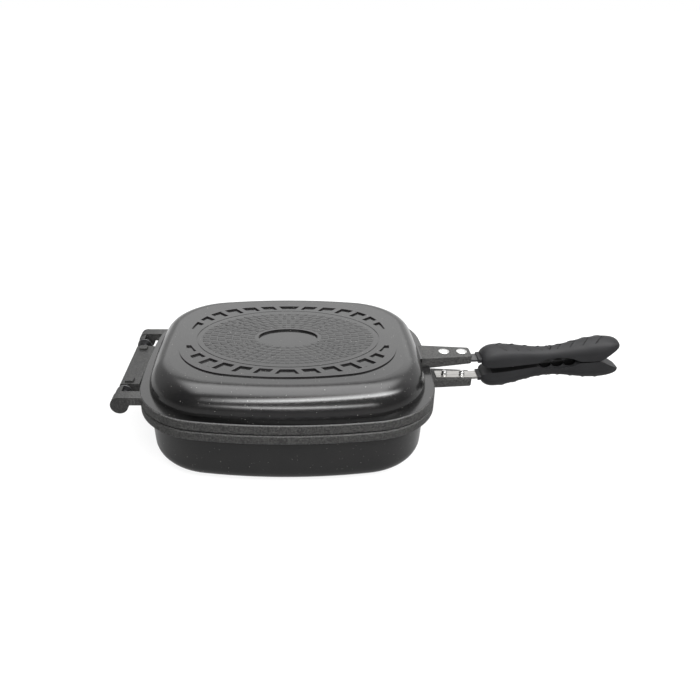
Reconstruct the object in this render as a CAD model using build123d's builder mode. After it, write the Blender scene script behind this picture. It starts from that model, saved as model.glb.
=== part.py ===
"""Double sided flip pan: two cast half pans, hinged at one end, gripped as one at the other.

Millimetres. X runs from the hinge to the handles, Y to the back, Z up.
The origin is on the ground, under the middle of the closed pan.
"""

from build123d import *
from math import atan2, cos, degrees, hypot, radians, sin, sqrt, tan
import os

# ------------------------------------------------------------------ driving dimensions
# Cast halves
rim_half_x = 147.6            # half length of both rims
rim_half_y = 126.9            # half width of both rims
side_bow = 4.1                # radius of the long sides, in half widths
end_bow = 5.2                 # radius of the ends, in half lengths
corner_share = 0.57           # corner radius, in half widths
cast_wall = 3.6               # wall of both castings
lower_height = 60.5           # lower casting, from its rim face down to its floor
upper_dome_rise = 26.0        # dome above the rim of the upper casting
lower_rim = 9.4               # thickness of the lower rim
upper_rim = 10.4              # thickness of the upper rim
rim_gap = 1.0                 # dark line between the closed rims
rim_edge_ease = 1.0
dome_foot_inset = 9.2         # width of the ledge round the dome
shoulder_run = 21.0           # from the dome's foot in to its flat top
shoulder_power = 1.08         # how upright the dome's wall stands
dome_steps = 6                # sections of the dome's shoulder
lower_inset = 8.0             # overhang of the lower rim
lower_draft = 3.0             # draft angle of the lower wall, degrees
lower_corner = 15.0           # rounding between the lower wall and floor

# Stove face, the same on both castings
plateau_half_x = 112.0
plateau_half_y = 85.5
plateau_step = 1.2
stove_side_bow = 3.4          # radius of its long sides, in half widths
stove_end_bow = 1.25          # radius of its ends, in half lengths
stove_corner_share = 0.75     # corner radius, in half widths
crescent_inset_x = 7.7        # outer line of the pockets, inside the plateau's edge
crescent_inset_y = 6.2
pocket_width_x = 2.3          # from the outer line to the inner one, at the long axis
pocket_width_y = 8.7          # and at the short axis
pocket_depth = 1.6
pocket_start_y = 19.5         # the crescents end this far from the long axis
rib_count = 12                # ribs across each crescent
rib_step = 11.1               # degrees of the ellipse from rib to rib
rib_lean_first = 30.0         # lean of the first rib, degrees
rib_lean_step = 4.9           # each next rib leans this much more
rib_width = 5.6
rib_length = 30.0
field_inset_x = 8.3            # fine groove, inside the pockets' inner line
field_inset_y = 5.0
field_groove = 0.9
field_groove_depth = 0.5
dish_half_x = 30.7            # shallow dish in the middle
dish_half_y = 19.1
dish_depth = 1.8

# Rim seal
seal_inset = 3.6
seal_width = 4.6
seal_depth = 3.4
seal_clearance = 0.15         # between the seal and its groove
seal_air = 0.3                # between the seal and the lower rim

# Hinge
hinge_from_rim = 14.4         # hinge axis beyond the rim's end
hinge_above_joint = 1.3       # hinge axis above the upper rim's face
arm_outer_y = 77.2
arm_width = 13.0
arm_top_drop = 0.5            # top of the arms below the ledge
arm_thickness = 7.8
arm_root = 16.0               # how far the arms reach back into the rim
knuckle_radius = 8.8
pin_radius = 3.4
pin_clearance = 0.08          # radial, in the knuckles
pin_socket = 8.0              # depth of the blind bore in each knuckle
pin_end_gap = 0.6
arm_base_lift = 1.6           # underside of the arms above the upper rim's face
hook_radius = 8.2
hook_bore = 5.4
hook_length = 10.8
washer_radius = 8.0
washer_thickness = 1.4
washer_at_y = 51.0
tongue_half_y = 42.5
tongue_top = 4.3              # top of the tongue above the hinge axis
tongue_depth = 9.0            # tongue below the hinge axis
tongue_overhang = 7.0         # tongue beyond the hinge axis
tongue_swing_gap = 1.4        # between the tongue and the upper rim
tongue_wall = 4.0
tongue_end_wall = 10.0        # solid end that holds the hinge pin
tongue_round = 2.2
stop_block_length = 8.3
stop_block_width = 8.0
stop_block_height = 2.2
stop_block_round = 1.0
stop_block_out = 2.2          # block centres, from the hinge axis to the pan
stop_block_y = 35.9

# Lugs and handle straps
lug_root_half_y = 15.5
lug_tip_half_y = 10.0
lug_length = 44.0             # from the rim's end to the lug's tip
lug_reach_in = 11.0           # the lug's root, back inside the rim
lower_stagger = 2.8           # the lower lug and its rivets sit this much further out
upper_lug_top = 20.6          # heights measured from the joint plane
upper_lug_base_root = 8.0
upper_lug_base_tip = 11.8
lower_lug_top = -7.0
lower_lug_base = -15.6
lug_end_round = 3.0
strap_width = 14.0
strap_thickness = 2.4
strap_bed_clearance = 0.2
strap_start = 9.4             # from the rim's end to the strap's end
upper_strap_base = 12.0       # underside of the upper strap above the joint plane
lower_strap_top = -6.3        # top of the lower strap
rivet_inner = 16.0            # from the rim's end to the first rivet
rivet_pitch = 18.7
rivet_radius = 3.0
rivet_head_radius = 5.6
rivet_head_height = 1.9
rivet_head_edge = 0.5         # upright edge of heads and tails
rivet_tail_radius = 3.4
rivet_tail_height = 1.8

# Grips, drawn along the seam between them
strap_bend_out = 48.4          # both straps turn up this far beyond the rim's end
seam_tilt = 5.5               # the handles rise by this angle
bend_to_grip = 15.6           # from the bend to the grips' datum, along the seam
grip_gap_front = 2.9          # half the wedge between the grips, at their datum
grip_gap_back = 0.35          # half the gap where the grips meet
grip_meet = 108.0             # from the datum to where they meet
grip_front = -8.0
grip_tip = 135.6
tip_height = 13.7             # the tip, above the seam
tip_half_y = 5.0
tip_round = 1.2
bulb_at = 6.0
bulb_half_y = 12.8
bulb_height = 23.5            # above the seam
waist_at = 62.0
waist_half_y = 8.7
waist_height = 16.2
tail_at = 114.5
tail_half_y = 12.5
tail_open = 116.0             # from here on the two tails part
tail_height = 22.8
crown_share = 0.62            # rounded share of the grip's height
tang_start = 3.0              # the strap narrows here
tang_width = 9.0
tang_end = 60.0
tang_clearance = 0.15
collar_length = 3.6           # neck of the grip round the strap
collar_wall = 1.6             # plastic round the strap at the neck
scoop_start = 47.0            # finger scoop, a lens that both grips share
scoop_end = 96.0
scoop_height = 6.6
scoop_step = 1.6              # depth of the lens, before the fluted hollow inside it
flute_pitch = 12.6
flute_radius = 7.6
flute_sink = 2.6              # flute centres, beyond the seam
scoop_web = 3.2               # half the web left between the finger scoops
screw_at = 26.0
screw_radius = 2.0
screw_head_radius = 4.0
screw_head_height = 2.4
screw_reach = 6.0             # past the strap, into the grip
screw_seat = 4.0              # rim of the head above the seam
screw_head_rim = 0.4
screw_slot_radius = 1.6
screw_slot_depth = 1.4
screw_clearance = 0.1
magnet_at = 106.0
magnet_radius = 6.0
magnet_thickness = 4.0
magnet_recess = 0.3
magnet_clearance = 0.1

# ------------------------------------------------------------------ derived places
lower_rim_top = plateau_step + lower_height
joint_z = lower_rim_top + rim_gap             # face of the upper rim
ledge_z = joint_z + upper_rim
dome_top_z = ledge_z + upper_dome_rise
lower_rim_base = lower_rim_top - lower_rim
hinge_x = -(rim_half_x + hinge_from_rim)
hinge_z = joint_z + hinge_above_joint
arm_inner_y = arm_outer_y - arm_width
upper_strap_middle = joint_z + upper_strap_base + strap_thickness / 2
lower_strap_middle = joint_z + lower_strap_top - strap_thickness / 2
strap_height = (upper_strap_middle - lower_strap_middle) / 2 * cos(radians(seam_tilt))
seam_along = Vector(cos(radians(seam_tilt)), 0, sin(radians(seam_tilt)))
seam_up = Vector(-sin(radians(seam_tilt)), 0, cos(radians(seam_tilt)))
strap_bend_x = rim_half_x + strap_bend_out
seam_bend = Vector(strap_bend_x, 0, (upper_strap_middle + lower_strap_middle) / 2)
seam_point = seam_bend + seam_along * bend_to_grip
seam_plane = Plane(origin=seam_point, x_dir=seam_along, z_dir=seam_up)
side_plane = Plane(origin=seam_point, x_dir=seam_along, z_dir=(0, -1, 0))
neck_half_y = strap_width / 2 + collar_wall
neck_half_z = strap_thickness / 2 + collar_wall
lower_floor = Plane(origin=(0, 0, plateau_step), x_dir=(1, 0, 0), z_dir=(0, 0, -1))
upper_floor = Plane.XY.offset(dome_top_z)
rivet_start = rim_half_x + rivet_inner
crescent_half_x = plateau_half_x - crescent_inset_x
crescent_half_y = plateau_half_y - crescent_inset_y
pocket_inner_x = crescent_half_x - pocket_width_x
pocket_inner_y = crescent_half_y - pocket_width_y
field_half_x = pocket_inner_x - field_inset_x
field_half_y = pocket_inner_y - field_inset_y
stop_block_x = hinge_x + stop_block_out
tongue_hollow = hinge_from_rim + tongue_overhang - tongue_swing_gap - 2 * tongue_wall
hollow_inset = dome_foot_inset + cast_wall
scoop_middle = (scoop_start + scoop_end) / 2
screw_axis = Axis(seam_point + seam_along * screw_at, seam_up)
front_stations = [grip_front, grip_front + 1.4, grip_front + 4.5, grip_front + 9]
handle_stations = [bulb_at + step * (waist_at - bulb_at) / 4 for step in range(4)]
tail_stations = [waist_at + step * (tail_at - waist_at) / 4 for step in range(5)]
tip_stations = [grip_tip - 17, grip_tip - 12, grip_tip - 7.5, grip_tip - 4, grip_tip - 1.4, grip_tip]
grip_stations = front_stations + handle_stations + tail_stations + tip_stations

os.makedirs("parts", exist_ok=True)


# ------------------------------------------------------------------ shared outlines
def tangent_oval(half_x, half_y, side_radius, end_radius, corner_radius):
    """Face bounded by eight tangent arcs: two sides, two ends, four corners."""
    side_centre = half_y - side_radius
    end_centre = half_x - end_radius
    to_side = side_radius - corner_radius
    to_end = end_radius - corner_radius
    span = hypot(side_centre, end_centre)
    along = (to_side**2 - to_end**2 + span**2) / (2 * span)
    across = sqrt(to_side**2 - along**2)
    run_x, run_y = end_centre / span, -side_centre / span
    corner_x = along * run_x + across * run_y
    corner_y = side_centre + along * run_y - across * run_x
    end_angle = degrees(atan2(corner_y, corner_x - end_centre))
    side_angle = degrees(atan2(corner_y - side_centre, corner_x))
    corner_sweep = side_angle - end_angle
    with BuildSketch() as oval:
        with BuildLine():
            CenterArc((end_centre, 0), end_radius, -end_angle, 2 * end_angle)
            CenterArc((corner_x, corner_y), corner_radius, end_angle, corner_sweep)
            CenterArc((0, side_centre), side_radius, side_angle, 180 - 2 * side_angle)
            CenterArc((-corner_x, corner_y), corner_radius, 180 - side_angle, corner_sweep)
            CenterArc((-end_centre, 0), end_radius, 180 - end_angle, 2 * end_angle)
            CenterArc((-corner_x, -corner_y), corner_radius, 180 + end_angle, corner_sweep)
            CenterArc((0, -side_centre), side_radius, 180 + side_angle, 180 - 2 * side_angle)
            CenterArc((corner_x, -corner_y), corner_radius, -side_angle, corner_sweep)
        make_face()
    return oval.sketch


def pan_outline(inset):
    """The rim's outline, drawn in by inset."""
    half_x, half_y = rim_half_x - inset, rim_half_y - inset
    return tangent_oval(half_x, half_y, side_bow * half_y, end_bow * half_x, corner_share * half_y)


def stove_outline(inset_x, inset_y):
    """Softer outline of the stove face, drawn in at its ends and sides."""
    half_x, half_y = plateau_half_x - inset_x, plateau_half_y - inset_y
    return tangent_oval(
        half_x, half_y, stove_side_bow * half_y, stove_end_bow * half_x, stove_corner_share * half_y
    )


def pocket_field():
    """The two crescents of pockets, with the leaning ribs left out."""
    with BuildSketch() as pockets:
        add(stove_outline(crescent_inset_x, crescent_inset_y))
        Ellipse(pocket_inner_x, pocket_inner_y, mode=Mode.SUBTRACT)
        Rectangle(2 * plateau_half_x, 2 * pocket_start_y, mode=Mode.SUBTRACT)
        for rib in range(rib_count // 2):
            angle = radians((rib + 0.5) * rib_step)
            lean = rib_lean_first + rib * rib_lean_step
            x, y = pocket_inner_x * sin(angle), pocket_inner_y * cos(angle)
            for sx, sy in ((1, 1), (-1, 1), (1, -1), (-1, -1)):
                with Locations((sx * x, sy * y)):
                    Rectangle(rib_width, rib_length, rotation=-sx * sy * lean, mode=Mode.SUBTRACT)
    return pockets.sketch


def stove_plateau(floor_plane):
    """Raised stove face on a casting's flat floor."""
    with BuildPart() as plateau:
        with BuildSketch(floor_plane):
            add(stove_outline(0, 0))
        extrude(amount=plateau_step)
    return plateau.part


def stove_cuts(floor_plane):
    """Pockets and the fine groove round the field."""
    with BuildPart() as cuts:
        with BuildSketch(floor_plane.offset(plateau_step)):
            add(pocket_field())
        extrude(amount=-pocket_depth)
        with BuildSketch(floor_plane.offset(plateau_step)):
            Ellipse(field_half_x + field_groove, field_half_y + field_groove)
            Ellipse(field_half_x, field_half_y, mode=Mode.SUBTRACT)
        extrude(amount=-field_groove_depth)
    return cuts.part


def rim_ring(base, thickness):
    """Solid slab of one rim, with its outer edges eased."""
    with BuildPart() as rim:
        with BuildSketch(Plane.XY.offset(base)):
            add(pan_outline(0))
        extrude(amount=thickness)
        chamfer(rim.edges().group_by(Axis.Z)[0], rim_edge_ease)
        chamfer(rim.edges().group_by(Axis.Z)[-1], rim_edge_ease)
    return rim.part


def drafted_bowl(inset, depth, corner):
    """Solid below the lower rim's face: drafted wall, round corner, flat floor."""
    with BuildPart() as bowl:
        with BuildSketch(Plane.XY.offset(lower_rim_top)):
            add(pan_outline(inset))
        extrude(amount=-depth, taper=lower_draft)
        fillet(bowl.faces().sort_by(Axis.Z)[0].edges(), corner)
    return bowl.part


def lofted_dome(base, inset, run, rise):
    """Solid dome on a level: upright at its foot, turning over to a flat crown."""
    with BuildPart() as dome:
        for step in range(dome_steps + 1):
            turn = radians(90 * step / dome_steps)
            with BuildSketch(Plane.XY.offset(base + rise * sin(turn) ** shoulder_power)):
                add(pan_outline(inset + run * (1 - cos(turn))))
        loft()
    return dome.part


def strap_lug(reach, outer, bed_root, bed_tip):
    """Tapered lug on the rim's end. Heights are measured from the joint plane."""
    root_x, tip_x = rim_half_x - lug_reach_in, rim_half_x + reach
    with BuildPart() as lug:
        with BuildSketch(Plane.XZ.offset(-lug_root_half_y)):
            with BuildLine():
                Polyline(
                    (root_x, joint_z + outer),
                    (tip_x, joint_z + outer),
                    (tip_x, joint_z + bed_tip),
                    (root_x, joint_z + bed_root),
                    close=True,
                )
            make_face()
        extrude(amount=2 * lug_root_half_y)
        with BuildSketch(Plane.XY) as plan:
            with BuildLine():
                Polyline(
                    (root_x, -lug_root_half_y),
                    (tip_x, -lug_tip_half_y),
                    (tip_x, lug_tip_half_y),
                    (root_x, lug_root_half_y),
                    close=True,
                )
            make_face()
            fillet(plan.vertices().group_by(Axis.X)[-1], lug_end_round)
        extrude(amount=2 * dome_top_z, mode=Mode.INTERSECT)
        outer_face = lug.faces().filter_by(Axis.Z).sort_by(lambda face: abs(face.center().Z - joint_z - outer))[0]
        fillet(outer_face.edges().sort_by(Axis.X)[1:], rim_edge_ease)
    return lug.part


def solid_rivet(x, head_seat, tail_seat):
    """Rivet on a vertical axis at x, with a domed head and a smaller domed tail."""
    side = 1 if head_seat > tail_seat else -1
    with BuildPart() as rivet:
        with BuildSketch(Plane.XZ):
            with BuildLine():
                dome = TangentArc(
                    (x, head_seat + side * rivet_head_height),
                    (x + rivet_head_radius, head_seat + side * rivet_head_edge),
                    tangent=(1, 0),
                )
                tail = TangentArc(
                    (x, tail_seat - side * rivet_tail_height),
                    (x + rivet_tail_radius, tail_seat - side * rivet_head_edge),
                    tangent=(1, 0),
                )
                Polyline(
                    dome @ 1,
                    (x + rivet_head_radius, head_seat),
                    (x + rivet_radius, head_seat),
                    (x + rivet_radius, tail_seat),
                    (x + rivet_tail_radius, tail_seat),
                    tail @ 1,
                )
                Line(tail @ 0, dome @ 0)
            make_face()
        revolve(axis=Axis((x, 0, 0), (0, 0, 1)))
    return rivet.part


def handle_strap(middle, side, first_rivet):
    """Flat strap: level on the lug, then turned up along the grips' seam on one side of it."""
    half = strap_thickness / 2
    mitre = half * tan(radians(seam_tilt / 2))
    start_x = rim_half_x + strap_start
    centre_line = seam_point + seam_up * (side * strap_height)
    shoulder = centre_line + seam_along * (tang_start - tang_clearance)
    far_end = centre_line + seam_along * tang_end
    far_top, far_base = far_end + seam_up * half, far_end - seam_up * half
    with BuildPart() as strap:
        with BuildSketch(Plane.XZ.offset(-strap_width / 2)):
            with BuildLine():
                Polyline(
                    (start_x, middle - half),
                    (strap_bend_x + mitre, middle - half),
                    (far_base.X, far_base.Z),
                    (far_top.X, far_top.Z),
                    (strap_bend_x - mitre, middle + half),
                    (start_x, middle + half),
                    close=True,
                )
            make_face()
        extrude(amount=strap_width)
        with BuildSketch(Plane.XY):
            with Locations((start_x, 0)):
                Rectangle(shoulder.X - start_x, strap_width, align=(Align.MIN, Align.CENTER))
                Rectangle(far_end.X + strap_width - start_x, tang_width, align=(Align.MIN, Align.CENTER))
            with Locations((first_rivet, 0), (first_rivet + rivet_pitch, 0)):
                Circle(rivet_radius, mode=Mode.SUBTRACT)
        extrude(amount=2 * dome_top_z, mode=Mode.INTERSECT)
    return strap.part


def blend(start, end, share):
    """Ease from start to end as share goes from 0 to 1."""
    return start + (end - start) * (1 - cos(radians(180 * share))) / 2


def grip_section(station):
    """Half width, outer height and inner height of the grip at a station on the seam."""
    inner = grip_gap_back + (grip_gap_front - grip_gap_back) * max(grip_meet - station, 0) / grip_meet
    if station < bulb_at:
        swell = sqrt(1 - ((bulb_at - station) / (bulb_at - grip_front)) ** 2)
        half_y = neck_half_y + (bulb_half_y - neck_half_y) * swell
        outer = strap_height + neck_half_z + (bulb_height - strap_height - neck_half_z) * swell
        return half_y, outer, strap_height - neck_half_z - (strap_height - neck_half_z - inner) * swell
    if station < waist_at:
        share = (station - bulb_at) / (waist_at - bulb_at)
        return blend(bulb_half_y, waist_half_y, share), blend(bulb_height, waist_height, share), inner
    if station < tail_at:
        share = (station - waist_at) / (tail_at - waist_at)
        return blend(waist_half_y, tail_half_y, share), blend(waist_height, tail_height, share), inner
    swell = sqrt(1 - ((station - tail_at) / (grip_tip - tail_at)) ** 2)
    open_up = max(station - tail_open, 0) / (grip_tip - tail_open)
    half_y = tip_half_y + (tail_half_y - tip_half_y) * swell
    outer = tip_height + tip_round + (tail_height - tip_height - tip_round) * swell
    return half_y, outer, grip_gap_back + (tip_height - tip_round - grip_gap_back) * open_up


# ------------------------------------------------------------------ lower pan
with BuildPart() as lower_pan:
    add(rim_ring(lower_rim_top - lower_rim, lower_rim))
    add(drafted_bowl(lower_inset, lower_height, lower_corner))
    add(stove_plateau(lower_floor))
    add(strap_lug(lug_length + lower_stagger, lower_lug_base, lower_lug_top, lower_lug_top))
    # Tongue of the hinge: a hollow box with solid ends and two stop blocks.
    with BuildSketch(Plane.XZ.offset(-tongue_half_y)) as tongue_profile:
        with BuildLine():
            Polyline(
                (-(rim_half_x + tongue_swing_gap), hinge_z + tongue_top),
                (hinge_x - tongue_overhang, hinge_z + tongue_top),
                (hinge_x - tongue_overhang, hinge_z - tongue_depth),
                (-(rim_half_x - 3 * rim_edge_ease), hinge_z - tongue_depth),
                (-(rim_half_x - 3 * rim_edge_ease), lower_rim_top),
                (-(rim_half_x + tongue_swing_gap), lower_rim_top),
                close=True,
            )
        make_face()
        fillet(tongue_profile.vertices().group_by(Axis.X)[0], tongue_round)
    extrude(amount=2 * tongue_half_y)
    with BuildSketch(Plane.XY.offset(hinge_z + tongue_top)):
        with Locations((stop_block_x, stop_block_y), (stop_block_x, -stop_block_y)):
            RectangleRounded(stop_block_length, stop_block_width, stop_block_round)
    extrude(amount=stop_block_height)
    with BuildSketch(Plane.XY.offset(hinge_z - tongue_depth)):
        with Locations((hinge_x - tongue_overhang + tongue_wall, 0)):
            Rectangle(
                tongue_hollow,
                2 * (tongue_half_y - tongue_end_wall),
                align=(Align.MIN, Align.CENTER),
            )
    extrude(amount=tongue_depth + tongue_top - tongue_wall, mode=Mode.SUBTRACT)
    with BuildSketch(Plane.XZ.offset(-tongue_half_y)):
        with Locations((hinge_x, hinge_z)):
            Circle(pin_radius)
    extrude(amount=2 * tongue_half_y, mode=Mode.SUBTRACT)
    # Bed and holes for the strap.
    with BuildSketch(Plane.XY.offset(lower_strap_middle - strap_thickness / 2)):
        with Locations((rim_half_x + strap_start, 0)):
            Rectangle(lug_length, strap_width + 2 * strap_bed_clearance, align=(Align.MIN, Align.CENTER))
    extrude(amount=2 * strap_thickness, mode=Mode.SUBTRACT)
    with BuildSketch(Plane.XY.offset(lower_strap_middle)):
        with Locations((rivet_start + lower_stagger, 0), (rivet_start + lower_stagger + rivet_pitch, 0)):
            Circle(rivet_radius)
    extrude(amount=-lug_length, mode=Mode.SUBTRACT)
    # Cooking hollow and stove face.
    add(drafted_bowl(lower_inset + cast_wall, lower_height - cast_wall, lower_corner - cast_wall), mode=Mode.SUBTRACT)
    add(stove_cuts(lower_floor), mode=Mode.SUBTRACT)

# ------------------------------------------------------------------ upper pan
with BuildPart() as upper_pan:
    add(rim_ring(joint_z, upper_rim))
    add(lofted_dome(ledge_z, dome_foot_inset, shoulder_run, upper_dome_rise))
    add(stove_plateau(upper_floor))
    add(strap_lug(lug_length, upper_lug_top, upper_lug_base_root, upper_lug_base_tip))
    # Hinge arms with knuckles, and the hook shells beside them.
    for side in (1, -1):
        with BuildSketch(Plane.XZ.offset(-side * arm_outer_y)):
            with Locations((hinge_x, joint_z + arm_base_lift)):
                Rectangle(
                    hinge_from_rim + arm_root,
                    upper_rim - arm_top_drop - arm_base_lift,
                    align=(Align.MIN, Align.MIN),
                )
            with Locations((hinge_x, hinge_z)):
                Circle(knuckle_radius)
        extrude(amount=side * arm_width)
        with BuildSketch(Plane.XZ.offset(-side * arm_inner_y)):
            with Locations((hinge_x, hinge_z)):
                Circle(hook_radius)
                Circle(hook_bore, mode=Mode.SUBTRACT)
            with Locations((hinge_x, hinge_z)):
                Rectangle(hook_radius, 2 * hook_radius, align=(Align.MIN, Align.CENTER), mode=Mode.SUBTRACT)
        extrude(amount=side * hook_length)
        with BuildSketch(Plane.XZ.offset(-side * arm_inner_y)):
            with Locations((hinge_x, hinge_z)):
                Circle(pin_radius + pin_clearance)
        extrude(amount=-side * pin_socket, mode=Mode.SUBTRACT)
    # Bed and holes for the strap.
    with BuildSketch(Plane.XY.offset(upper_strap_middle + strap_thickness / 2)):
        with Locations((rim_half_x + strap_start, 0)):
            Rectangle(lug_length, strap_width + 2 * strap_bed_clearance, align=(Align.MIN, Align.CENTER))
    extrude(amount=-3 * strap_thickness, mode=Mode.SUBTRACT)
    with BuildSketch(Plane.XY.offset(upper_strap_middle)):
        with Locations((rivet_start, 0), (rivet_start + rivet_pitch, 0)):
            Circle(rivet_radius)
    extrude(amount=lug_length, mode=Mode.SUBTRACT)
    # Groove for the seal.
    with BuildSketch(Plane.XY.offset(joint_z)):
        add(pan_outline(seal_inset))
        add(pan_outline(seal_inset + seal_width), mode=Mode.SUBTRACT)
    extrude(amount=seal_depth, mode=Mode.SUBTRACT)
    # Cooking hollow and stove face.
    add(lofted_dome(joint_z, hollow_inset, shoulder_run, dome_top_z - cast_wall - joint_z), mode=Mode.SUBTRACT)
    add(stove_cuts(upper_floor), mode=Mode.SUBTRACT)
    with BuildSketch(upper_floor.offset(plateau_step)):
        Ellipse(dish_half_x, dish_half_y)
    extrude(amount=-dish_depth, mode=Mode.SUBTRACT)

# ------------------------------------------------------------------ seal
with BuildPart() as rim_gasket:
    with BuildSketch(Plane.XY.offset(joint_z + seal_depth)):
        add(pan_outline(seal_inset + seal_clearance))
        add(pan_outline(seal_inset + seal_width - seal_clearance), mode=Mode.SUBTRACT)
    extrude(amount=-(seal_depth + rim_gap - seal_air))

# ------------------------------------------------------------------ hinge pins and washers
with BuildPart() as hinge_pin_front:
    with BuildSketch(Plane.XZ.offset(tongue_half_y - tongue_end_wall)):
        with Locations((hinge_x, hinge_z)):
            Circle(pin_radius)
    extrude(amount=arm_inner_y + pin_socket - pin_end_gap - tongue_half_y + tongue_end_wall)

with BuildPart() as hinge_washer_front:
    with BuildSketch(Plane.XZ.offset(washer_at_y)):
        with Locations((hinge_x, hinge_z)):
            Circle(washer_radius)
            Circle(pin_radius, mode=Mode.SUBTRACT)
    extrude(amount=washer_thickness)

with BuildPart() as hinge_pin_back:
    mirror(hinge_pin_front.part, about=Plane.XZ)

with BuildPart() as hinge_washer_back:
    mirror(hinge_washer_front.part, about=Plane.XZ)

# ------------------------------------------------------------------ straps and rivets
with BuildPart() as lower_handle_strap:
    add(handle_strap(lower_strap_middle, -1, rivet_start + lower_stagger))
    with BuildSketch(seam_plane):
        with Locations((screw_at, 0)):
            Circle(screw_radius)
    extrude(amount=-2 * strap_height, mode=Mode.SUBTRACT)

with BuildPart() as upper_handle_strap:
    add(handle_strap(upper_strap_middle, 1, rivet_start))
    with BuildSketch(seam_plane):
        with Locations((screw_at, 0)):
            Circle(screw_radius)
    extrude(amount=2 * strap_height, mode=Mode.SUBTRACT)

with BuildPart() as lower_rivet_inner:
    add(solid_rivet(rivet_start + lower_stagger, joint_z + lower_lug_base, joint_z + lower_strap_top))

with BuildPart() as lower_rivet_outer:
    add(solid_rivet(rivet_start + lower_stagger + rivet_pitch, joint_z + lower_lug_base, joint_z + lower_strap_top))

with BuildPart() as upper_rivet_inner:
    add(solid_rivet(rivet_start, joint_z + upper_lug_top, joint_z + upper_strap_base))

with BuildPart() as upper_rivet_outer:
    add(solid_rivet(rivet_start + rivet_pitch, joint_z + upper_lug_top, joint_z + upper_strap_base))

# ------------------------------------------------------------------ grips, screws, magnets
with BuildPart() as upper_grip:
    for station in grip_stations:
        half_y, outer, inner = grip_section(station)
        crown = crown_share * (outer - inner)
        section_plane = Plane(origin=seam_point + seam_along * station, x_dir=(0, 1, 0), z_dir=seam_along)
        with BuildSketch(section_plane):
            with BuildLine():
                Polyline((-half_y, outer - crown), (-half_y, inner), (half_y, inner), (half_y, outer - crown))
                EllipticalCenterArc((0, outer - crown), half_y, crown, start_angle=0, arc_size=180)
            make_face()
    loft()
    split(bisect_by=seam_plane.offset(grip_gap_back), keep=Keep.TOP)
    # Neck round the strap.
    neck_plane = Plane(origin=seam_point + seam_along * grip_front, x_dir=(0, 1, 0), z_dir=-seam_along)
    with BuildSketch(neck_plane):
        with Locations((0, -strap_height)):
            RectangleRounded(2 * neck_half_y, 2 * neck_half_z, collar_wall)
    extrude(amount=collar_length)
    # Slot for the strap, wide at the neck and narrow beyond the shoulder.
    with BuildSketch(seam_plane.offset(strap_height - strap_thickness / 2)):
        with Locations((grip_front - 2 * collar_length, 0)):
            Rectangle(
                tang_start + tang_clearance - grip_front + 2 * collar_length,
                strap_width + 2 * tang_clearance,
                align=(Align.MIN, Align.CENTER),
            )
            Rectangle(
                tang_end + tang_clearance - grip_front + 2 * collar_length,
                tang_width + 2 * tang_clearance,
                align=(Align.MIN, Align.CENTER),
            )
    extrude(amount=strap_thickness, mode=Mode.SUBTRACT)
    # Finger scoops: one lens on each side, with a web between them.
    for side in (1, -1):
        with BuildSketch(side_plane.offset(side * (waist_half_y - scoop_step))):
            with BuildLine():
                ThreePointArc((scoop_start, 0), (scoop_middle, scoop_height), (scoop_end, 0))
                Line((scoop_end, 0), (scoop_start, 0))
            make_face()
        extrude(amount=side * waist_half_y, mode=Mode.SUBTRACT)
        with BuildSketch(side_plane.offset(side * scoop_web)):
            with Locations((scoop_middle, -flute_sink)):
                with GridLocations(flute_pitch, 0, 3, 1):
                    Circle(flute_radius)
        extrude(amount=side * waist_half_y, mode=Mode.SUBTRACT)
    # Stepped hole for the screw, and the magnet's pocket.
    with BuildSketch(side_plane):
        with BuildLine():
            Polyline(
                (screw_at, 0),
                (screw_at + screw_head_radius + screw_clearance, 0),
                (screw_at + screw_head_radius + screw_clearance, screw_seat),
                (screw_at + screw_radius + screw_clearance, screw_seat + screw_head_height),
                (screw_at + screw_radius + screw_clearance, strap_height - strap_thickness / 2),
                (screw_at + screw_radius, strap_height - strap_thickness / 2),
                (screw_at + screw_radius, strap_height + screw_reach),
                (screw_at, strap_height + screw_reach),
                close=True,
            )
        make_face()
    revolve(axis=screw_axis, mode=Mode.SUBTRACT)
    with BuildSketch(seam_plane):
        with Locations((magnet_at, 0)):
            Circle(magnet_radius + magnet_clearance)
    extrude(amount=grip_gap_back + magnet_recess + magnet_thickness, mode=Mode.SUBTRACT)

with BuildPart() as upper_grip_screw:
    with BuildSketch(side_plane):
        with BuildLine():
            Polyline(
                (screw_at, screw_seat - screw_head_rim + screw_slot_depth),
                (screw_at + screw_slot_radius, screw_seat - screw_head_rim + screw_slot_depth),
                (screw_at + screw_slot_radius, screw_seat - screw_head_rim),
                (screw_at + screw_head_radius, screw_seat - screw_head_rim),
                (screw_at + screw_head_radius, screw_seat),
                (screw_at + screw_radius, screw_seat + screw_head_height - screw_clearance),
                (screw_at + screw_radius, strap_height + screw_reach),
                (screw_at, strap_height + screw_reach),
                close=True,
            )
        make_face()
    revolve(axis=screw_axis)

with BuildPart() as upper_grip_magnet:
    with BuildSketch(seam_plane.offset(grip_gap_back + magnet_recess)):
        with Locations((magnet_at, 0)):
            Circle(magnet_radius)
    extrude(amount=magnet_thickness)

with BuildPart() as lower_grip:
    mirror(upper_grip.part, about=seam_plane)

with BuildPart() as lower_grip_screw:
    mirror(upper_grip_screw.part, about=seam_plane)

with BuildPart() as lower_grip_magnet:
    mirror(upper_grip_magnet.part, about=seam_plane)

# ------------------------------------------------------------------ colours and files
cast_black = Color(0.16, 0.16, 0.17)
steel = Color(0.72, 0.72, 0.74)
grip_black = Color(0.07, 0.07, 0.08)
seal_grey = Color(0.25, 0.25, 0.26)

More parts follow.
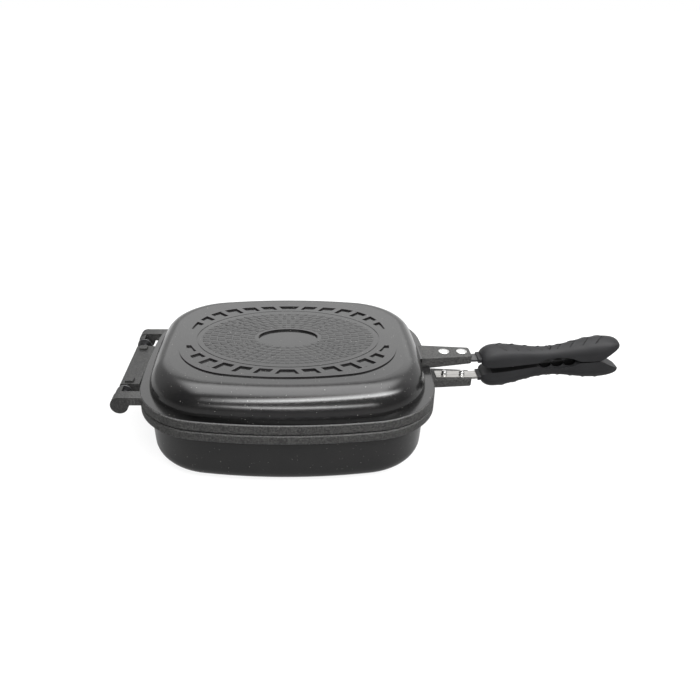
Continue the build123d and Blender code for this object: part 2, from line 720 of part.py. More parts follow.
for name, piece, tint in (
    ("lower_pan", lower_pan, cast_black),
    ("upper_pan", upper_pan, cast_black),
    ("rim_gasket", rim_gasket, seal_grey),
    ("hinge_pin_front", hinge_pin_front, steel),
    ("hinge_pin_back", hinge_pin_back, steel),
    ("hinge_washer_front", hinge_washer_front, steel),
    ("hinge_washer_back", hinge_washer_back, steel),
    ("lower_handle_strap", lower_handle_strap, steel),
    ("upper_handle_strap", upper_handle_strap, steel),
    ("lower_rivet_inner", lower_rivet_inner, steel),
    ("lower_rivet_outer", lower_rivet_outer, steel),
    ("upper_rivet_inner", upper_rivet_inner, steel),
    ("upper_rivet_outer", upper_rivet_outer, steel),
    ("lower_grip", lower_grip, grip_black),
    ("upper_grip", upper_grip, grip_black),
    ("lower_grip_screw", lower_grip_screw, steel),
    ("upper_grip_screw", upper_grip_screw, steel),
    ("lower_grip_magnet", lower_grip_magnet, steel),
    ("upper_grip_magnet", upper_grip_magnet, steel),
):
    piece.part.label = name
    piece.part.color = tint
    export_step(piece.part, f"parts/{name}.step")
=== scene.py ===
"""Looks of the double sided flip pan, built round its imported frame. Metres."""

import math
from bisect import bisect

import bpy
from mathutils import Matrix, Vector
from mathutils.bvhtree import BVHTree


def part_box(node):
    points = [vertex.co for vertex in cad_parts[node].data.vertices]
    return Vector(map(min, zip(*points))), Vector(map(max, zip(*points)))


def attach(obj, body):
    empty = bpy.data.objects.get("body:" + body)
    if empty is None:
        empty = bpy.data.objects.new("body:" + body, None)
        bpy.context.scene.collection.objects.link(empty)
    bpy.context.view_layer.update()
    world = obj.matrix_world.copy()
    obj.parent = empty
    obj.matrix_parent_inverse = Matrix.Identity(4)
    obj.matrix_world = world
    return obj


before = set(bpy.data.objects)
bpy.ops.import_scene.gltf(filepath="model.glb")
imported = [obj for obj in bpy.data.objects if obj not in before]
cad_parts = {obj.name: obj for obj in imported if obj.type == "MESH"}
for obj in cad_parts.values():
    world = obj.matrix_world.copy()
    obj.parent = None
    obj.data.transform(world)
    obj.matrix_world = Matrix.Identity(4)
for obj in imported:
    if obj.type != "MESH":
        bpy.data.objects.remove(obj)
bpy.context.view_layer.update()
MM = 0.001
scene = bpy.context.scene

# The camera: its picture in pixels, then its sensor and its place in millimetres, the place
# measured from the joint between the two rims
PICTURE_SIDE = 700
FOCAL_LENGTH = 702.6
CENTRE_X = 305.6
SENSOR = 36
CAMERA_SPOT = Vector((18.2, -656.7, 357.0))
JOINT_Z = 62.7
YAW, PITCH, ROLL = math.radians(0.6), math.radians(27.0), math.radians(0.3)

# Heights and places that the looks share with the casting
PLATEAU_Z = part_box("upper_pan")[1].z
RIM_X, RIM_Y = 0.1476, 0.1269
LEDGE_Z = 0.0731
LUG_TIP_X = 0.1916
DISH_X, DISH_Y = 0.0307, 0.0191

# Where the casting turns gritty, and where shade is painted on its ledge. Each pair says where
# that begins and where it is full. RIM_SHARE is measured across the oval, where 1 is the rim's edge.
RIM_SHARE = (0.78, 0.84)
BAND_FOOT_Z = (0.0512, 0.0518)
BAND_TOP_Z = (LEDGE_Z, 0.0724)
PAST_RIM_X = (RIM_X, RIM_X + 0.0008)
LUG_ROOT_X = (0.1385, 0.1390)
LUG_ROOT_Y = (0.0165, 0.0155)
LUG_ROOT_Z = (0.0732, 0.0738)
HINGE_X = (-0.149, -0.155)
LEDGE_SHADE_X = (0.125, 0.085)
LEDGE_SHADE_REACH = 0.0001

# Colours, dark and light where there are two. The colours of the ledge, of the grips' inner faces
# and of the creases are painted shade.
COAT_DARK, COAT_LIGHT = (0.0062, 0.0062, 0.0064), (0.0088, 0.0087, 0.0085)
LEDGE_PAINTED_SHADE = (0.0015, 0.0015, 0.0015)
GRIT_DARK, GRIT_LIGHT = (0.005, 0.0049, 0.0048), (0.042, 0.0415, 0.04)
HINGE_DARK, HINGE_LIGHT = (0.005, 0.005, 0.005), (0.019, 0.0188, 0.018)
SPECK_PALE = (0.25, 0.24, 0.225)
GRIP_DARK, GRIP_LIGHT = (0.0125, 0.0125, 0.0132), (0.0155, 0.0155, 0.0164)
GRIP_PAINTED_SHADE = (0.0015, 0.0015, 0.0015)
CREASE_SHADE_DARK, CREASE_SHADE_LIGHT = (0.001, 0.001, 0.0011), (0.002, 0.002, 0.0021)
LACQUER = (0.02, 0.02, 0.021)
RIVET_DARK, RIVET_LIGHT = (0.58, 0.58, 0.575), (0.74, 0.74, 0.73)
RUBBER_DARK, RUBBER_LIGHT = (0.010, 0.010, 0.011), (0.016, 0.016, 0.017)
FLOOR_SHADE = (0.14, 0.14, 0.14)

# The part of a noise's range that most of its values fall in, and the part that grit shows
NOISE_SPAN = (0.3, 0.7)
GRIT_SPAN = (0.38, 0.66)

# The specks: cells in a metre, share of the cells left bare, and largest radius in a cell
SPECK_CELLS = 400
SPECK_BARE = 0.4
SPECK_RADIUS = 0.13

# The bricks: rings of them between the dish and their own outer ellipse. The two shares of
# that way out are where the first ring begins and where the last one ends.
BRICKS_X, BRICKS_Y = 0.0895, 0.0605
INNER_SHARE, OUTER_SHARE = 0.06, 0.99
RINGS = 7
RING_STEPS = 720
BRICK_PITCH = 0.0047
RADIAL_JOINT, ROUND_JOINT = 0.0007, 0.0010
TALL_BRICK, LOW_BRICK = 0.0006, 0.00025

# Layers of a brick: how far each steps in, as a share of the half length, and its rise, as a
# share of the height
PILLOW = ((0, -0.3), (0, 0.15), (0.15, 0.55), (0.4, 0.85), (0.75, 1.0))

# Formed head on a lower rivet, in millimetres: radius and rise, and how far the profile's zero
# lies below the rivet's top
TAIL_PROFILE = (
    (3.7, -0.6), (3.6, 0.0), (3.1, 0.35), (2.85, 0.9), (2.9, 2.2), (2.6, 3.2), (1.9, 3.9), (0.9, 4.25),
)
TAIL_SIDES = 32
TAIL_SINK = 1.6

# The seam between the grips: its datum, its slope, and half its gap at the datum and where the
# grips meet
SEAM_TILT = math.radians(5.5)
SEAM_POINT = Vector((0.2115, 0, 0.06705))
SEAM_ALONG = Vector((math.cos(SEAM_TILT), 0, math.sin(SEAM_TILT)))
SEAM_UP = Vector((-math.sin(SEAM_TILT), 0, math.cos(SEAM_TILT)))
GRIPS_MEET = 0.108
HALF_GAP = (0.0031, 0.0005)

# The finger scoops: their middle and half length along the seam, their half height, and how
# far from the pan's middle plane the shade painted in their depth reaches
SCOOP_MIDDLE, SCOOP_HALF = 0.0715, 0.0245
SCOOP_HEIGHT = 0.0066
SCOOP_SHADE_Y = 0.0062

# Rays find a grip's skin from outside, towards a core that runs along the seam
GRIP_CORE = 0.009
RAY_REACH = 0.05

# The ribs: the middle of their row, and how far each runs down the grip's sides from the crown
RIB_MIDDLE = 0.0636
RIB_TURN = math.radians(40)
RIB_STEPS = 16

# Section of a rib: the lengths of its slope and its drop, its height, and how deep its edges sink
RIB_SLOPE, RIB_DROP, RIB_HEIGHT = 0.0038, 0.0015, 0.00065
SUNK = 0.0001

# Crown and foot of the V and of the first rib on each side, from the middle of the row, and the
# pitch of the ribs at crown and foot
RIBS_A_SIDE = 4
V_CROWN, V_FOOT = 0.0034, 0.0004
FIRST_CROWN, FIRST_FOOT = 0.0134, 0.0079
CROWN_PITCH, FOOT_PITCH = 0.0140, 0.0126

# The studio: the floor's side, and the world's level for rays off dull surfaces
FLOOR_SIDE = 40
DULL_LEVEL = 0.22


# ---------------------------------------------------------------- camera
def add_camera():
    """Camera fitted to the photograph's outlines."""
    unturn = Matrix.Rotation(-YAW, 3, "Z")
    forward = unturn @ Vector((0, math.cos(PITCH), -math.sin(PITCH)))
    right = unturn @ Vector((1, 0, 0))
    up = unturn @ Vector((0, math.sin(PITCH), math.cos(PITCH)))
    turn = Matrix((right, up, -forward)).transposed() @ Matrix.Rotation(ROLL, 3, "Z")
    place = unturn @ (CAMERA_SPOT * MM) + Vector((0, 0, JOINT_Z * MM))
    data = bpy.data.cameras.new("camera")
    data.sensor_width = SENSOR
    data.lens = SENSOR * FOCAL_LENGTH / PICTURE_SIDE
    data.shift_x = (PICTURE_SIDE / 2 - CENTRE_X) / PICTURE_SIDE
    data.clip_start = 0.01
    camera = bpy.data.objects.new("camera", data)
    camera.matrix_world = Matrix.Translation(place) @ turn.to_4x4()
    scene.collection.objects.link(camera)
    scene.camera = camera


# ---------------------------------------------------------------- node helpers
class Nodes:
    """Short calls for building one node tree."""

    def __init__(self, tree):
        self.tree = tree

    def add(self, kind, **settings):
        node = self.tree.nodes.new("ShaderNode" + kind)
        for name, value in settings.items():
            setattr(node, name, value)
        return node

    def link(self, source, target):
        self.tree.links.new(source, target)

    def place(self):
        """A spot on the object, in its own metres."""
        return self.add("TexCoord").outputs["Object"]

    def math(self, operation, a, b=None, c=None, clamp=False):
        """Each operand is a number or another node's output."""
        node = self.add("Math", operation=operation, use_clamp=clamp)
        for socket, value in zip(node.inputs, (a, b, c)):
            if hasattr(value, "links"):
                self.link(value, socket)
            elif value is not None:
                socket.default_value = value
        return node.outputs[0]

    def product(self, *factors):
        """Two or more masks or levels multiplied."""
        result = factors[0]
        for factor in factors[1:]:
            result = self.math("MULTIPLY", result, factor)
        return result

    def absolute(self, value):
        return self.math("ABSOLUTE", value)

    def axes(self, vector):
        node = self.add("SeparateXYZ")
        self.link(vector, node.inputs[0])
        return node.outputs

    def dot(self, vector, direction):
        node = self.add("VectorMath", operation="DOT_PRODUCT")
        self.link(vector, node.inputs[0])
        node.inputs[1].default_value = direction
        return node.outputs["Value"]

    def ramp(self, source, low, high, to_low=0.0, to_high=1.0):
        """Straight run from to_low at low to to_high at high, level beyond them."""
        node = self.add("MapRange")
        self.link(source, node.inputs["Value"])
        for name, value in zip(("From Min", "From Max", "To Min", "To Max"), (low, high, to_low, to_high)):
            node.inputs[name].default_value = value
        return node.outputs[0]

    def by_mask(self, mask, without, within):
        """One number where the mask is 0, another where it is 1."""
        return self.ramp(mask, 0.0, 1.0, without, within)

    def noise(self, vector, scale, detail):
        node = self.add("TexNoise")
        self.link(vector, node.inputs["Vector"])
        node.inputs["Scale"].default_value = scale
        node.inputs["Detail"].default_value = detail
        return node.outputs["Fac"]

    def mix(self, share, a, b):
        """Each colour is red, green and blue or another node's output."""
        node = self.add("Mix", data_type="RGBA")
        self.link(share, node.inputs[0])
        for socket, value in ((node.inputs[6], a), (node.inputs[7], b)):
            if hasattr(value, "links"):
                self.link(value, socket)
            else:
                socket.default_value = (*value, 1)
        return node.outputs[2]

    def bump(self, height, strength, distance, normal=None):
        node = self.add("Bump")
        node.inputs["Strength"].default_value = strength
        node.inputs["Distance"].default_value = distance
        self.link(height, node.inputs["Height"])
        if normal is not None:
            self.link(normal, node.inputs["Normal"])
        return node.outputs["Normal"]


def new_material(name):
    """A material, the helper for its tree, and its shader."""
    material = bpy.data.materials.new(name)
    material.use_nodes = True
    shader = material.node_tree.nodes["Principled BSDF"]
    return material, Nodes(material.node_tree), shader


# ---------------------------------------------------------------- materials
def edge_masks(n, spot):
    """Two masks: gritty on the rims, lugs and hinge, and painted shade on the ledge under the dome."""
    x, y, z = n.axes(spot)
    # The rim's outline is close to an ellipse with fourth powers in place of squares
    round_x = n.math("POWER", n.absolute(n.math("DIVIDE", x, RIM_X)), 4)
    round_y = n.math("POWER", n.absolute(n.math("DIVIDE", y, RIM_Y)), 4)
    outside = n.ramp(n.math("ADD", round_x, round_y), *RIM_SHARE)
    rims = n.product(outside, n.product(n.ramp(z, *BAND_FOOT_Z), n.ramp(z, *BAND_TOP_Z)))
    ends = n.ramp(n.absolute(x), *PAST_RIM_X)
    lugs = n.product(n.ramp(x, *LUG_ROOT_X), n.ramp(n.absolute(y), *LUG_ROOT_Y), n.ramp(z, *LUG_ROOT_Z))
    gritty = n.math("MAXIMUM", n.math("MAXIMUM", rims, ends), lugs)
    ledge_shade = n.product(n.math("COMPARE", z, LEDGE_Z, LEDGE_SHADE_REACH), n.ramp(n.absolute(x), *LEDGE_SHADE_X))
    return gritty, ledge_shade


def specks(n, spot, edge):
    """Sparse specks of many sizes and strengths, fainter where the casting is gritty."""
    cells = n.add("TexVoronoi")
    n.link(spot, cells.inputs["Vector"])
    cells.inputs["Scale"].default_value = SPECK_CELLS
    draws = n.add("SeparateColor")
    n.link(cells.outputs["Color"], draws.inputs[0])
    radius = n.ramp(draws.outputs[0], SPECK_BARE, 1.0, to_low=0.0, to_high=SPECK_RADIUS)
    inside = n.math("LESS_THAN", cells.outputs["Distance"], radius)
    strength = n.ramp(draws.outputs[1], 0.0, 1.0, to_low=0.3, to_high=1.0)
    return n.product(inside, strength, n.by_mask(edge, 1.0, 0.35))


def casting_material():
    """Baked stone-look coat: satin charcoal with sparse pale specks, gritty on the rims, with shade painted
    on the ledge under the dome.
    """
    material, n, shader = new_material("stone_coat")
    spot = n.place()
    edge, ledge_shade = edge_masks(n, spot)
    tone = n.ramp(n.noise(spot, scale=35, detail=4), *NOISE_SPAN)
    # Painted shade on the ledge under the dome: a near-black colour here, and less specular further down
    coat = n.mix(ledge_shade, n.mix(tone, COAT_DARK, COAT_LIGHT), LEDGE_PAINTED_SHADE)
    grain = n.noise(spot, scale=650, detail=6)
    grit_tone = n.ramp(grain, *GRIT_SPAN)
    hinge = n.ramp(n.axes(spot)[0], *HINGE_X)
    grit = n.mix(hinge, n.mix(grit_tone, GRIT_DARK, GRIT_LIGHT), n.mix(grit_tone, HINGE_DARK, HINGE_LIGHT))
    colour = n.mix(specks(n, spot, edge), n.mix(edge, coat, grit), SPECK_PALE)
    n.link(colour, shader.inputs["Base Color"])
    n.link(n.by_mask(ledge_shade, 0.5, 0.15), shader.inputs["Specular IOR Level"])
    satin = n.ramp(n.noise(spot, scale=420, detail=2), *NOISE_SPAN, to_low=0.155, to_high=0.2)
    rough = n.add("Mix", data_type="FLOAT")
    n.link(edge, rough.inputs[0])
    n.link(satin, rough.inputs[2])
    rough.inputs[3].default_value = 0.58
    n.link(rough.outputs[0], shader.inputs["Roughness"])
    fine = n.bump(n.noise(spot, scale=1900, detail=3), strength=0.05, distance=0.0002)
    coarse = n.bump(n.product(grain, edge), strength=0.8, distance=0.0008, normal=fine)
    n.link(coarse, shader.inputs["Normal"])
    return material


def painted_shade_between_grips(n, spot):
    """Mask for painted shade: 1 on the grips' inner faces and deep in the finger scoops, which hardly see
    the light.
    """
    offset = n.add("VectorMath", operation="SUBTRACT")
    n.link(spot, offset.inputs[0])
    offset.inputs[1].default_value = SEAM_POINT
    station = n.dot(offset.outputs[0], SEAM_ALONG)
    height = n.absolute(n.dot(offset.outputs[0], SEAM_UP))
    gap = n.ramp(station, 0, GRIPS_MEET, *HALF_GAP)
    deep = n.math("LESS_THAN", n.absolute(n.axes(spot)[1]), SCOOP_SHADE_Y)
    low = n.math("LESS_THAN", height, SCOOP_HEIGHT)
    within = n.math("COMPARE", station, SCOOP_MIDDLE, SCOOP_HALF)
    return n.math("MAXIMUM", n.math("LESS_THAN", height, gap), n.product(deep, low, within))


def grip_material():
    """Soft-touch moulded plastic with a fine spark-eroded grain, and shade painted on the inner faces and
    in the scoops.
    """
    material, n, shader = new_material("grip_plastic")
    spot = n.place()
    inside = painted_shade_between_grips(n, spot)
    tone = n.ramp(n.noise(spot, scale=60, detail=3), *NOISE_SPAN)
    # Painted shade: the inner faces and the deep scoops take a near-black colour, and less specular below
    n.link(n.mix(inside, n.mix(tone, GRIP_DARK, GRIP_LIGHT), GRIP_PAINTED_SHADE), shader.inputs["Base Color"])
    rough = n.ramp(n.noise(spot, scale=900, detail=2), *NOISE_SPAN, to_low=0.42, to_high=0.52)
    n.link(rough, shader.inputs["Roughness"])
    n.link(n.by_mask(inside, 0.16, 0.08), shader.inputs["Specular IOR Level"])
    grain = n.bump(n.noise(spot, scale=2600, detail=2), strength=0.12, distance=0.0002)
    n.link(grain, shader.inputs["Normal"])
    return material


def crease_shade_material():
    """The same plastic, darkened by painted shade in the narrow drop beside each rib."""
    material, n, shader = new_material("grip_crease_shade")
    tone = n.noise(n.place(), scale=900, detail=2)
    n.link(n.mix(tone, CREASE_SHADE_DARK, CREASE_SHADE_LIGHT), shader.inputs["Base Color"])
    shader.inputs["Roughness"].default_value = 0.6
    shader.inputs["Specular IOR Level"].default_value = 0.1
    return material


def brushed_material(name, light, dark, roughness, lacquer_from=1.0):
    """Steel with grain along X. Past lacquer_from it is lacquered dark."""
    material, n, shader = new_material(name)
    stretched = n.add("Mapping")
    n.link(n.place(), stretched.inputs["Vector"])
    stretched.inputs["Scale"].default_value = (0.03, 1, 1)
    grain = n.noise(stretched.outputs["Vector"], scale=2600, detail=3)
    steel = n.mix(n.ramp(grain, *NOISE_SPAN), dark, light)
    lacquer = n.math("GREATER_THAN", n.axes(n.place())[0], lacquer_from)
    n.link(n.mix(lacquer, steel, LACQUER), shader.inputs["Base Color"])
    n.link(n.ramp(grain, *NOISE_SPAN, roughness, roughness + 0.14), shader.inputs["Roughness"])
    n.link(n.math("SUBTRACT", 1.0, lacquer), shader.inputs["Metallic"])
    n.link(n.bump(grain, strength=0.12, distance=0.0001), shader.inputs["Normal"])
    return material


def rivet_material():
    """Bright pressed aluminium, slightly mottled."""
    material, n, shader = new_material("rivet_aluminium")
    tone = n.noise(n.place(), scale=700, detail=3)
    n.link(n.mix(n.ramp(tone, *NOISE_SPAN), RIVET_DARK, RIVET_LIGHT), shader.inputs["Base Color"])
    n.link(n.ramp(tone, *NOISE_SPAN, to_low=0.22, to_high=0.3), shader.inputs["Roughness"])
    shader.inputs["Metallic"].default_value = 1.0
    return material


def rubber_material():
    """Dull black rubber of the seal."""
    material, n, shader = new_material("seal_rubber")
    tone = n.noise(n.place(), scale=500, detail=3)
    n.link(n.mix(n.ramp(tone, *NOISE_SPAN), RUBBER_DARK, RUBBER_LIGHT), shader.inputs["Base Color"])
    shader.inputs["Roughness"].default_value = 0.7
    n.link(n.bump(tone, strength=0.2, distance=0.0002), shader.inputs["Normal"])
    return material


def paint(node, material):
    """Give one CAD piece its only material."""
    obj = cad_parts[node]
    obj.data.materials.clear()
    obj.data.materials.append(material)


# ---------------------------------------------------------------- pieces
def mesh_object(name, verts, faces, material, body, smooth):
    """Piece that rides on a body, shaded smooth except at edges sharper than smooth degrees."""
    mesh = bpy.data.meshes.new(name)
    mesh.from_pydata(verts, [], faces)
    mesh.validate()
    obj = bpy.data.objects.new(name, mesh)
    scene.collection.objects.link(obj)
    mesh.materials.append(material)
    mesh.shade_smooth()
    mesh.set_sharp_from_angle(angle=math.radians(smooth))
    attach(obj, body)
    return obj


def ring_turn(step):
    """Turn after this many of a ring's steps, which start at the front."""
    return 2 * math.pi * step / RING_STEPS - math.pi / 2


def on_ellipse(share, turn):
    """Point on the ellipse that lies this share of the way out from the dish."""
    half_x = DISH_X + share * (BRICKS_X - DISH_X)
    half_y = DISH_Y + share * (BRICKS_Y - DISH_Y)
    return half_x * math.cos(turn), half_y * math.sin(turn)


class BrickRing:
    """One ellipse of bricks, walked by length from the front of the field."""

    def __init__(self, share):
        self.share = share
        corners = [Vector(on_ellipse(share, ring_turn(step))) for step in range(RING_STEPS + 1)]
        self.lengths = [0.0]
        for start, end in zip(corners, corners[1:]):
            self.lengths.append(self.lengths[-1] + (end - start).length)

    def turn_at(self, length):
        """Turn of the point this far along the ring."""
        length %= self.lengths[-1]
        step = bisect(self.lengths, length) - 1
        part = (length - self.lengths[step]) / (self.lengths[step + 1] - self.lengths[step])
        return ring_turn(step + part)

    def spread(self, turn):
        """Distance from the dish to the bricks' outer ellipse in this direction."""
        return math.hypot((BRICKS_X - DISH_X) * math.cos(turn), (BRICKS_Y - DISH_Y) * math.sin(turn))

    def spot(self, length, out):
        """Point this far along the ring and this far out from its middle."""
        turn = self.turn_at(length)
        return on_ellipse(self.share + out / self.spread(turn), turn)


def add_brick(ring, middle, pitch, thickness, height, verts, faces):
    """Pillow-topped brick: its layers step in and up from below the plateau."""
    half_long = (pitch - RADIAL_JOINT) / 2
    half_wide = (thickness - ROUND_JOINT) / 2
    start = len(verts)
    for inset, rise in PILLOW:
        step_in = inset * half_long
        for along, out in ((-1, -1), (1, -1), (1, 1), (-1, 1)):
            x, y = ring.spot(middle + along * (half_long - step_in), out * (half_wide - step_in))
            verts.append((x, y, PLATEAU_Z + rise * height))
    for layer in range(0, 4 * len(PILLOW) - 4, 4):
        for side in range(4):
            a, b = start + layer + side, start + layer + (side + 1) % 4
            faces.append((a, b, b + 4, a + 4))
    faces.append(tuple(range(len(verts) - 4, len(verts))))


def brick_field(material):
    """Rings of bricks round the dish, tall and low by turns as in a basket weave."""
    verts, faces = [], []
    ring_share = (OUTER_SHARE - INNER_SHARE) / RINGS
    for count in range(RINGS):
        ring = BrickRing(INNER_SHARE + ring_share * (count + 0.5))
        round_it = ring.lengths[-1]
        bricks = 2 * round(round_it / BRICK_PITCH / 2)
        for brick in range(bricks):
            middle = round_it * brick / bricks
            thickness = ring_share * ring.spread(ring.turn_at(middle))
            height = (TALL_BRICK, LOW_BRICK)[(brick + count) % 2]
            add_brick(ring, middle, round_it / bricks, thickness, height, verts, faces)
    obj = mesh_object("brick_field", verts, faces, material, "upper_half", smooth=50)


def rivet_tail(node, material):
    """Formed head that stands on a lower rivet's tail, turned from its profile."""
    low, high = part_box(node)
    middle = (low + high) / 2
    verts, faces = [], []
    for radius, rise in TAIL_PROFILE:
        for side in range(TAIL_SIDES):
            turn = 2 * math.pi * side / TAIL_SIDES
            x = middle.x + radius * MM * math.cos(turn)
            y = middle.y + radius * MM * math.sin(turn)
            verts.append((x, y, high.z + (rise - TAIL_SINK) * MM))
    for layer in range(len(TAIL_PROFILE) - 1):
        for side in range(TAIL_SIDES):
            a, b = layer * TAIL_SIDES + side, layer * TAIL_SIDES + (side + 1) % TAIL_SIDES
            faces.append((a, b, b + TAIL_SIDES, a + TAIL_SIDES))
    faces.append(tuple(range(len(verts) - TAIL_SIDES, len(verts))))
    obj = mesh_object(node + "_tail", verts, faces, material, "lower_half", smooth=35)


class GripSurface:
    """Finds the skin of one CAD grip from the seam between the two grips."""

    def __init__(self, node, outward):
        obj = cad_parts[node]
        mesh = obj.data
        verts = [obj.matrix_world @ v.co for v in mesh.vertices]
        self.tree = BVHTree.FromPolygons(verts, [tuple(p.vertices) for p in mesh.polygons])
        self.outward = outward

    def at(self, station, turn, lift):
        """Point at a station, turned from the crown towards the front, lifted off the skin."""
        middle = SEAM_POINT + SEAM_ALONG * station + SEAM_UP * (self.outward * GRIP_CORE)
        ray = SEAM_UP * (self.outward * math.cos(turn)) + Vector((0, -math.sin(turn), 0))
        spot, normal, _, _ = self.tree.ray_cast(middle + ray * RAY_REACH, -ray)
        return spot + normal * lift


def rib_strip(skin, crown, foot, raised, verts, faces):
    """Scale-like step that leans over the crown: a slope on its raised side, then a short drop.

    Towards its ends it sinks into the skin, and its slope narrows to half.
    """
    start = len(verts)
    for step in range(RIB_STEPS + 1):
        turn = RIB_TURN * (2 * step / RIB_STEPS - 1)
        share = abs(turn) / RIB_TURN
        station = crown + (foot - crown) * share
        fade = 1 - share**6
        slope = RIB_SLOPE * (1 - 0.5 * share)
        top = RIB_HEIGHT * fade - SUNK * (1 - fade)
        for shift, lift in ((raised * slope, -SUNK), (0, top), (-raised * RIB_DROP, -SUNK)):
            verts.append(skin.at(station + shift, turn, lift))
    for step in range(RIB_STEPS):
        for side in (0, 1):
            a = start + 3 * step + side
            faces.append((a, a + 1, a + 4, a + 3))


def grip_ribs(node, outward, material, crease_shade, body):
    """Eight slanted ribs that lean away from the waist, and a V between them."""
    skin = GripSurface(node, outward)
    verts, faces = [], []
    for side in (-1, 1):
        rib_strip(skin, RIB_MIDDLE + side * V_CROWN, RIB_MIDDLE + side * V_FOOT, side, verts, faces)
        for count in range(RIBS_A_SIDE):
            crown = RIB_MIDDLE + side * (FIRST_CROWN + CROWN_PITCH * count)
            foot = RIB_MIDDLE + side * (FIRST_FOOT + FOOT_PITCH * count)
            rib_strip(skin, crown, foot, side, verts, faces)
    obj = mesh_object(node + "_ribs", verts, faces, material, body, smooth=20)
    obj.data.materials.append(crease_shade)
    # The drop faces take the crease material, which paints shade into them
    for count, face in enumerate(obj.data.polygons):
        face.material_index = count % 2


# ---------------------------------------------------------------- stage and light
def seen_straight(n):
    """Two masks: camera and transmission rays, and glossy rays."""
    path = n.add("LightPath")
    straight = n.math("ADD", path.outputs["Is Camera Ray"], path.outputs["Is Transmission Ray"], clamp=True)
    return straight, path.outputs["Is Glossy Ray"]


def bare_tree(block):
    """Helper for the node tree of a material, world or lamp, with its nodes cleared away."""
    block.use_nodes = True
    for node in list(block.node_tree.nodes):
        block.node_tree.nodes.remove(node)
    return Nodes(block.node_tree)


def add_floor():
    """White floor, which glows less near the pan. Its reflections fade towards the front."""
    bpy.ops.mesh.primitive_plane_add(size=FLOOR_SIDE, location=(0, 0, 0))
    floor = bpy.context.object
    floor.name = "floor"
    material = bpy.data.materials.new("floor")
    n = bare_tree(material)
    straight, glossy = seen_straight(n)
    place = n.add("NewGeometry").outputs["Position"]
    gloss = n.product(glossy, n.ramp(n.axes(place)[1], -0.2, 0.4, to_low=0.12, to_high=0.8))
    away = n.add("VectorMath", operation="LENGTH")
    n.link(place, away.inputs[0])
    plain = n.ramp(away.outputs["Value"], 0.2, 0.42, to_low=0.84, to_high=1.0)
    diffuse = n.add("BsdfDiffuse")
    diffuse.inputs["Color"].default_value = (*FLOOR_SHADE, 1)
    glow = n.add("Emission")
    n.link(n.math("ADD", n.product(straight, plain), gloss), glow.inputs["Strength"])
    both = n.add("AddShader")
    n.link(diffuse.outputs[0], both.inputs[0])
    n.link(glow.outputs[0], both.inputs[1])
    n.link(both.outputs[0], n.add("OutputMaterial").inputs["Surface"])
    floor.data.materials.append(material)


def add_world():
    """White studio. Its reflections fade towards the front and a little to the left."""
    world = bpy.data.worlds.new("studio")
    scene.world = world
    n = bare_tree(world)
    straight, glossy = seen_straight(n)
    way = n.axes(n.add("TexCoord").outputs["Generated"])
    behind = n.ramp(way[1], -0.25, 0.35, to_low=0.08, to_high=0.85)
    side = n.ramp(way[0], -0.7, -0.1, to_low=0.65, to_high=1.0)
    level = n.math("ADD", straight, n.product(glossy, n.product(behind, side)), clamp=True)
    other = n.math("SUBTRACT", 1.0, n.math("ADD", straight, glossy, clamp=True))
    back = n.add("Background")
    back.inputs["Color"].default_value = (1, 1, 1, 1)
    n.link(n.math("ADD", level, n.product(other, DULL_LEVEL)), back.inputs["Strength"])
    n.link(back.outputs[0], n.add("OutputWorld").inputs["Surface"])


def soften(data, ends, low, high):
    """Fade a lamp over these shares of it: its ends, its lower edge and its upper edge."""
    n = bare_tree(data)
    place = n.axes(n.add("NewGeometry").outputs["Parametric"])
    left, up = place[0], place[1]
    right, down = n.math("SUBTRACT", 1.0, left), n.math("SUBTRACT", 1.0, up)
    level = 1.0
    for share, reach in ((left, ends), (right, ends), (up, low), (down, high)):
        fade = n.add("MapRange", interpolation_type="SMOOTHSTEP")
        n.link(share, fade.inputs["Value"])
        fade.inputs["From Max"].default_value = reach
        level = n.math("MULTIPLY", fade.outputs[0], level)
    glow = n.add("Emission")
    n.link(level, glow.inputs["Strength"])
    n.link(glow.outputs[0], n.add("OutputLight").inputs["Surface"])


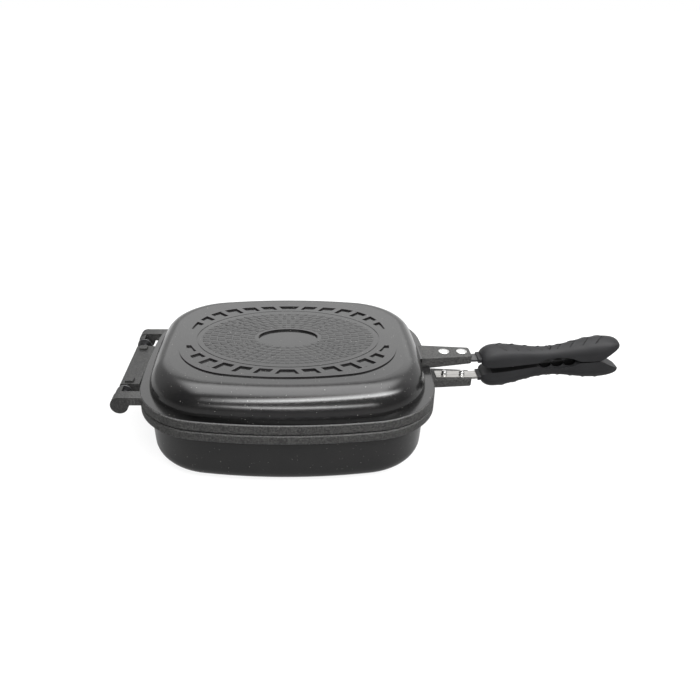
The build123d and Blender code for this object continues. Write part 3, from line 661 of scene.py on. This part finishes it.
def add_area(name, spot, target, size, radiance, fades):
    """Oblong lamp that looks at its target and is hidden from the camera."""
    data = bpy.data.lights.new(name, "AREA")
    data.shape = "RECTANGLE"
    data.size, data.size_y = size
    data.energy = radiance * math.pi * size[0] * size[1]
    soften(data, *fades)
    light = bpy.data.objects.new(name, data)
    light.location = spot
    light.rotation_euler = (Vector(target) - Vector(spot)).to_track_quat("-Z", "Y").to_euler()
    light.visible_camera = False
    scene.collection.objects.link(light)


# ---------------------------------------------------------------- assembly
add_camera()
add_floor()
add_world()

# Each lamp's place, target, size, radiance, and shares faded at the ends, lower and upper edge
add_area("front_box", (0.38, -0.8, 1.0), (0.03, -0.1, 0.085), (3.0, 0.42), 20.0, (0.35, 0.05, 0.85))
add_area("front_strip", (0.1, -1.7, 0.5), (0, -0.1, 0.08), (2.2, 0.28), 17.0, (0.4, 0.5, 0.5))
add_area("top_box", (0.1, -0.1, 1.3), (0.1, -0.1, 0.1), (2.6, 1.9), 5.0, (0.25, 0.3, 0.35))
add_area("back_box", (0, 1.5, 1.1), (0, 0, 0.1), (3.0, 1.2), 1.0, (0.2, 0.2, 0.2))

coat = casting_material()
plastic = grip_material()
crease_shade = crease_shade_material()
steel = brushed_material("strap_steel", (0.56, 0.55, 0.53), (0.2, 0.195, 0.19), 0.30)
pin_steel = brushed_material("pin_steel", (0.16, 0.16, 0.165), (0.07, 0.07, 0.072), 0.34)
lacquered = brushed_material("lacquered_strap", (0.47, 0.465, 0.45), (0.26, 0.255, 0.245), 0.30, LUG_TIP_X)
aluminium = rivet_material()
rubber = rubber_material()

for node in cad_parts:
    if node.endswith("_pan"):
        paint(node, coat)
    elif node.endswith("_grip"):
        paint(node, plastic)
    elif node == "upper_handle_strap":
        paint(node, lacquered)
    elif node == "lower_handle_strap":
        paint(node, steel)
    elif "_rivet_" in node:
        paint(node, aluminium)
    elif node == "rim_gasket":
        paint(node, rubber)
    else:
        paint(node, pin_steel)

brick_field(coat)
rivet_tail("lower_rivet_inner", aluminium)
rivet_tail("lower_rivet_outer", aluminium)
grip_ribs("upper_grip", 1, plastic, crease_shade, "upper_half")
grip_ribs("lower_grip", -1, plastic, crease_shade, "lower_half")

scene.view_settings.view_transform = "Standard"
